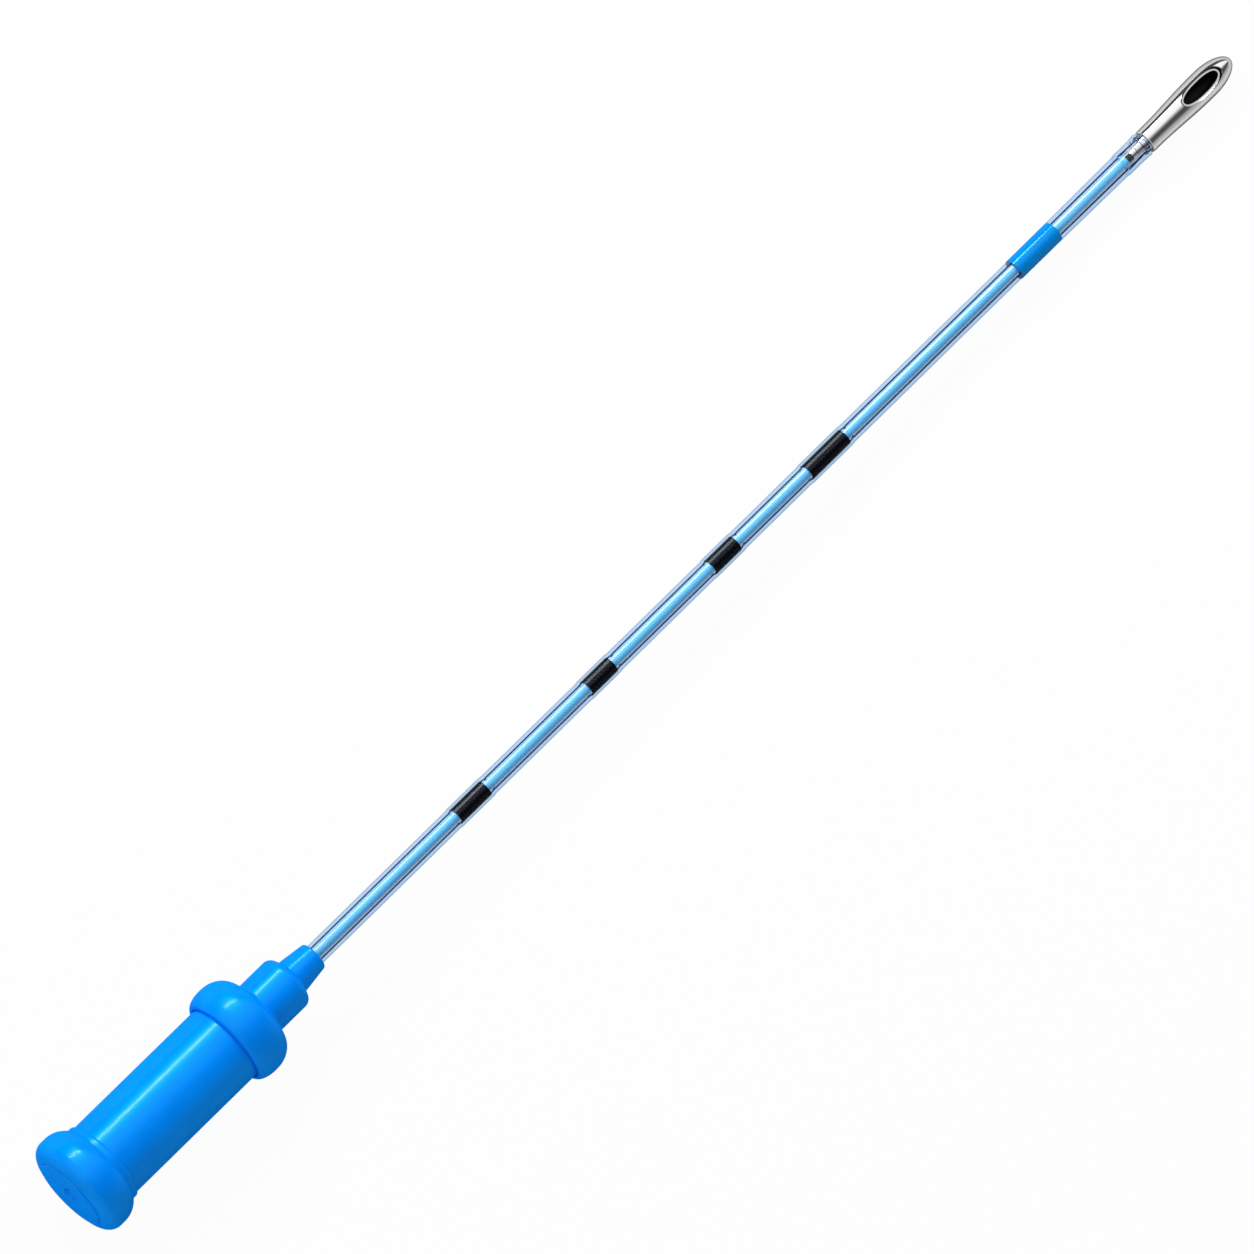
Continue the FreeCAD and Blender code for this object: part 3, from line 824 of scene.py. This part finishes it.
for step in range(PATCH_ROWS - 1, -1, -1):
    share = step / PATCH_ROWS
    loop = []
    for (row, column), (rim_x, rim_y, _) in zip(border, rim_points):
        rim_turn = math.asin(rim_y / tip_radius(rim_x))
        x = rim_x + (tip_outline[row][0] - rim_x) * share
        turn = rim_turn + (column * 2 * math.pi / TIP_COLUMNS - rim_turn) * share
        loop.append(tip_shape.verts.new(on_tip(x, turn, tip_radius(x))))
    loops.append(loop)
for step in range(BEVEL_ROWS - 1, -1, -1):
    loop = []
    for turn, (_, _, growth) in zip(eye_turns, rim_points):
        part = growth * step / BEVEL_ROWS
        x, y = eye_edge(turn, LIP_WIDTH, part)
        loop.append(tip_shape.verts.new((x, y, sill + (bulb_r - sill) * part)))
    loops.append(loop)
for width in (LIP_WIDTH * 0.5, 0.0):
    edge_points = [eye_edge(turn, width, 0) for turn in eye_turns]
    loops.append([tip_shape.verts.new((x, y, sill)) for x, y in edge_points])
outer_loops = len(loops)
start_turn = math.asin(EYE_HALF_WIDTH / CAVITY_R)
for step in range(1, CAVITY_ROWS + 1):
    turn = start_turn + (math.pi - start_turn) * step / CAVITY_ROWS
    loop = []
    for eye_turn in eye_turns:
        x, y = eye_edge(eye_turn, 0, 0)
        spread = CAVITY_R * math.sin(turn) / EYE_HALF_WIDTH
        loop.append(tip_shape.verts.new((x, y * spread, CAVITY_R * math.cos(turn))))
    loops.append(loop)
for number, (outside, inside) in enumerate(zip(loops, loops[1:])):
    for place in range(len(border)):
        after = (place + 1) % len(border)
        face = tip_shape.faces.new((outside[place], outside[after], inside[after], inside[place]))
        face.material_index = 1 if number >= outer_loops - 1 else 0
bmesh.ops.remove_doubles(tip_shape, verts=tip_shape.verts, dist=MERGE_GAP)
bmesh.ops.dissolve_degenerate(tip_shape, edges=tip_shape.edges, dist=MERGE_GAP / 10)
steel = polished_steel("polished_stainless_steel")
tip = lay_piece("steel_tip", closed_mesh(tip_shape), steel)
# The cavity's faces take the near-black bore material, which paints the shade inside the eye.
tip.data.materials.append(shade_painted_bore("painted_shade_steel_bore"))
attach(tip, "sheath")
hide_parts("curette_tip")


# Piston rod
# One light blue rod, extruded in acetal and bonded into the grip. Its front end is turned up to a
# piston head, a thin core that carries the seal, and a catch that keeps the seal on.
ROD_R = 1.1
HEAD_LEN = 6.0
SEAL_CORE_R = 0.55
CATCH_R = 0.7
HEAD_CHAMFER = 0.25
ROD_EDGE = 0.08

rod_blue, rod_tree, rod_shader = start_material("extruded_acetal_light_blue", {"Specular IOR Level": 0.0})
lay_shine(rod_tree, rod_shader.outputs["BSDF"], 0.09, "#E8FAFF", 0.28)
rod_coords = add(rod_tree, "ShaderNodeTexCoord").outputs["Object"]
streak_size = 2.0
rod_draw = add(rod_tree, "ShaderNodeMapping", inputs={"Vector": rod_coords, "Scale": (0.08, 1, 1)})
streaks = add(rod_tree, "ShaderNodeTexNoise",
              inputs={"Vector": rod_draw.outputs["Vector"], "Scale": 1 / (streak_size * MM), "Detail": 3.0})
rod_shades = add(rod_tree, "ShaderNodeValToRGB", inputs={"Fac": streaks.outputs["Fac"]})
rod_shades.color_ramp.elements[0].color = linear("#54C4F6")
rod_shades.color_ramp.elements[1].color = linear("#6CD0FC")
rod_tree.links.new(rod_shades.outputs["Color"], rod_shader.inputs["Base Color"])

rod_start, catch_end, _, head_r = span("piston_rod")
seal_back, seal_front, _, seal_r = span("piston_seal")
head_back = seal_back - HEAD_LEN
rod_outline = [(rod_start, 0), (rod_start, ROD_R), (head_back, ROD_R), (head_back + HEAD_CHAMFER, head_r)]
rod_outline += [(seal_back, head_r), (seal_back, SEAL_CORE_R)]
rod_outline += [(seal_front, SEAL_CORE_R), (seal_front, CATCH_R)]
rod_outline += quarter(seal_front, CATCH_R, catch_end, 0, "along", 6)
rod = lay_piece("blue_rod", turned_mesh(soften(rod_outline, ROD_EDGE), TUBE_COLUMNS), rod_blue)
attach(rod, "plunger")
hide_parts("piston_rod")


# Piston seal
# A moulded black rubber ring snapped over the rod's catch. It is squeezed by the bore and draws the
# vacuum, so it nearly fills the bore and is smooth, a little shiny and rounded at its rims.
SEAL_PRESS = 0.034
SEAL_EDGE = 0.1

rubber, rubber_tree, rubber_shader = start_material("moulded_rubber_black", {"Specular IOR Level": 0.0})
lay_shine(rubber_tree, rubber_shader.outputs["BSDF"], 0.015, "#F2F4FF", 0.3)
rubber_coords = add(rubber_tree, "ShaderNodeTexCoord").outputs["Object"]
rubber_grain_size = 0.3
rubber_grain = add(rubber_tree, "ShaderNodeTexNoise",
                   inputs={"Vector": rubber_coords, "Scale": 1 / (rubber_grain_size * MM), "Detail": 2.0})
rubber_shades = add(rubber_tree, "ShaderNodeValToRGB", inputs={"Fac": rubber_grain.outputs["Fac"]})
rubber_shades.color_ramp.elements[0].color = linear("#07080D")
rubber_shades.color_ramp.elements[1].color = linear("#12141C")
rubber_tree.links.new(rubber_shades.outputs["Color"], rubber_shader.inputs["Base Color"])
pressed_r = seal_r + SEAL_PRESS
seal_outline = [(seal_back, SEAL_CORE_R), (seal_back, pressed_r)]
seal_outline += [(seal_front, pressed_r), (seal_front, SEAL_CORE_R)]
seal = lay_piece("rubber_seal", turned_mesh(soften(seal_outline, SEAL_EDGE), TUBE_COLUMNS), rubber)
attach(seal, "plunger")
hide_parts("piston_seal")


# Studio
# A white table in a room that is bright on one side of the catheter and behind its grip, and dark on
# the other side, with two oval softboxes, one inside the other, that leave a streak on round pieces.
TABLE_SIDE = 6.0
TABLE_WHITE = 0.96
TABLE_IN_GLOSS = 0.1
BEHIND_FROM = 0.5
BEHIND_FULL = 0.75
BEHIND_LEVEL = 0.75
LAMP_ZENITH = math.radians(54)
LAMP_AHEAD = 0.27
TABLE_ROUGH = 0.9
DOME = ((-90, 0.6), (-68, 0.5), (-56, 0.26), (-46, 0.1), (-22, 0.08), (-10, 0.35), (0, 0.75), (12, 1.2),
        (50, 1.25), (56, 1.1), (63, 0.1), (90, 0.06), (97, 0.5))

table_mesh = bpy.data.meshes.new("table")
half = TABLE_SIDE / 2
corners = [(-half, -half, 0), (half, -half, 0), (half, half, 0), (-half, half, 0)]
table_mesh.from_pydata(corners, [], [(0, 1, 2, 3)])
table = bpy.data.objects.new("table", table_mesh)
bpy.context.scene.collection.objects.link(table)
table_paint, table_tree, table_shader = start_material("white_paper", {"Roughness": TABLE_ROUGH})
table_shader.inputs["Base Color"].default_value = linear("#E2E2E2")
table_shader.inputs["Specular IOR Level"].default_value = 0.0
glow = add(table_tree, "ShaderNodeEmission", inputs={"Strength": 1.0})
rays = add(table_tree, "ShaderNodeLightPath").outputs
seen = add(table_tree, "ShaderNodeMath", {"operation": "MAXIMUM"},
           {0: rays["Is Camera Ray"], 1: rays["Is Transmission Ray"]})
mirrored = add(table_tree, "ShaderNodeMath", {"operation": "MULTIPLY"},
               {0: rays["Is Glossy Ray"], 1: TABLE_IN_GLOSS})
whiteness = add(table_tree, "ShaderNodeMath", {"operation": "MULTIPLY_ADD"},
                {0: seen.outputs["Value"], 1: TABLE_WHITE, 2: mirrored.outputs["Value"]})
table_mix = add(table_tree, "ShaderNodeMixShader",
                inputs={"Fac": whiteness.outputs["Value"], 1: table_shader.outputs["BSDF"],
                        2: glow.outputs["Emission"]})
table_out = table_tree.nodes["Material Output"]
table_tree.links.new(table_mix.outputs["Shader"], table_out.inputs["Surface"])
table_mesh.materials.append(table_paint)

world = bpy.data.worlds.new("studio")
bpy.context.scene.world = world
world.use_nodes = True
world_tree = world.node_tree
room = world_tree.nodes["Background"]
toward = add(world_tree, "ShaderNodeTexCoord").outputs["Generated"]
parts = add(world_tree, "ShaderNodeSeparateXYZ", inputs={"Vector": toward}).outputs
lean = add(world_tree, "ShaderNodeMath", {"operation": "ARCTAN2"}, {0: parts["Y"], 1: parts["Z"]})
share = add(world_tree, "ShaderNodeMapRange",
            inputs={"Value": lean.outputs["Value"], "From Min": -math.pi, "From Max": math.pi})
dome = add(world_tree, "ShaderNodeValToRGB", inputs={"Fac": share.outputs["Result"]})
dome.color_ramp.interpolation = "EASE"
set_stops(dome.color_ramp, [((degrees + 180) / 360, level) for degrees, level in DOME])
behind = add(world_tree, "ShaderNodeMapRange", {"interpolation_type": "SMOOTHSTEP"},
             {"Value": parts["X"], "From Min": -BEHIND_FROM, "From Max": -BEHIND_FULL,
              "To Max": BEHIND_LEVEL})
light = add(world_tree, "ShaderNodeMath", {"operation": "MAXIMUM"},
            {0: dome.outputs["Color"], 1: behind.outputs["Result"]})
world_tree.links.new(light.outputs["Value"], room.inputs["Color"])
backdrop = add(world_tree, "ShaderNodeBackground", inputs={"Strength": 1.0})
world_rays = add(world_tree, "ShaderNodeLightPath").outputs
world_mix = add(world_tree, "ShaderNodeMixShader",
                inputs={"Fac": world_rays["Is Camera Ray"], 1: room.outputs["Background"],
                        2: backdrop.outputs["Background"]})
world_tree.links.new(world_mix.outputs["Shader"], world_tree.nodes["World Output"].inputs["Surface"])


def softbox(name, zenith, distance, width, length, radiance):
    """An oval lamp beside the catheter and a little ahead of it, at an angle from straight above."""
    lamp = bpy.data.lights.new(name, "AREA")
    lamp.shape = "ELLIPSE"
    lamp.size = length
    lamp.size_y = width
    lamp.energy = radiance * math.pi * length * width * math.pi / 4
    holder = bpy.data.objects.new(name, lamp)
    bpy.context.scene.collection.objects.link(holder)
    holder.location = (LAMP_AHEAD, distance * math.sin(zenith), distance * math.cos(zenith))
    holder.rotation_euler = (-zenith, 0, 0)
    return holder


softbox("wide_softbox", LAMP_ZENITH, 0.92, 0.4, 0.8, 1.2)
softbox("narrow_softbox", LAMP_ZENITH, 0.9, 0.12, 0.6, 30.0)

bpy.context.scene.view_settings.view_transform = "Standard"


# Camera
# It looks down on the catheter from the grip's side, turned so that the catheter runs from the lower
# left to the upper right, through a long lens as in the photograph.
LOOK_TILT = math.radians(17)
ROLL = math.radians(44.37)
LENS = 323.3
SENSOR = 36.0
STAND_OFF = 1.726
AIM_STATION = 124.86
AIM_ASIDE = 2.44 * MM

look = ahead * math.sin(LOOK_TILT) - up * math.cos(LOOK_TILT)
run = (ahead - look * ahead.dot(look)).normalized()
rise = (-look).cross(run)
right = run * math.cos(ROLL) - rise * math.sin(ROLL)
top = run * math.sin(ROLL) + rise * math.cos(ROLL)
aim = LAY_DOWN @ Vector((AIM_STATION, 0, 0)) + rise * AIM_ASIDE
eye = bpy.data.cameras.new("camera")
eye.lens = LENS
eye.sensor_width = SENSOR
eye.clip_end = 20
camera = bpy.data.objects.new("camera", eye)
stance = Matrix((right, top, -look)).transposed().to_4x4()
camera.matrix_world = Matrix.Translation(aim - look * STAND_OFF) @ stance
bpy.context.scene.collection.objects.link(camera)
bpy.context.scene.camera = camera
